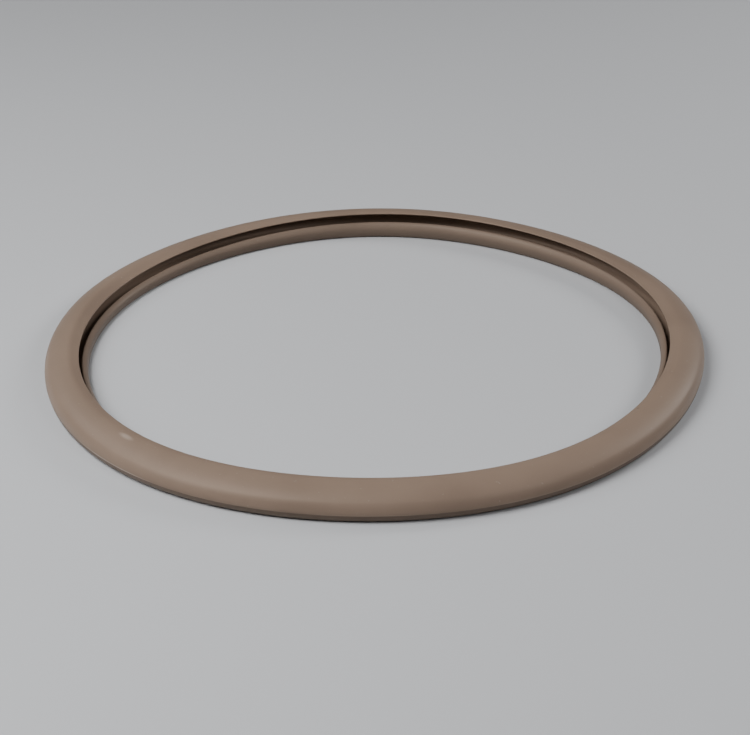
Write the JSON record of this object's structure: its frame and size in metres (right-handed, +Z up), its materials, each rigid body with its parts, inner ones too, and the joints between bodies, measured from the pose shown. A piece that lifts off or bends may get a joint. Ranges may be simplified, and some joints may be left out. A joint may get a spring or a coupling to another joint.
{
  "type": "pressure cooker sealing ring",
  "caption": "Moulded silicone sealing ring for a stovetop pressure cooker, with a domed top, a thin upper lip, an inward steam groove and a rounded lower lip.",
  "frame": {"origin": "centre of the ring's flat underside, on the surface that it lies on", "axes": "+Z up along the ring's axis, from the flat underside to the domed top; +X and +Y are any two square directions in the plane of the underside"},
  "size_m": [0.236, 0.236, 0.0096],
  "materials": {
    "silicone": "satin"
  },
  "bodies": {
    "root": {"sealing_ring": "silicone"}
  },
  "joints": []
}
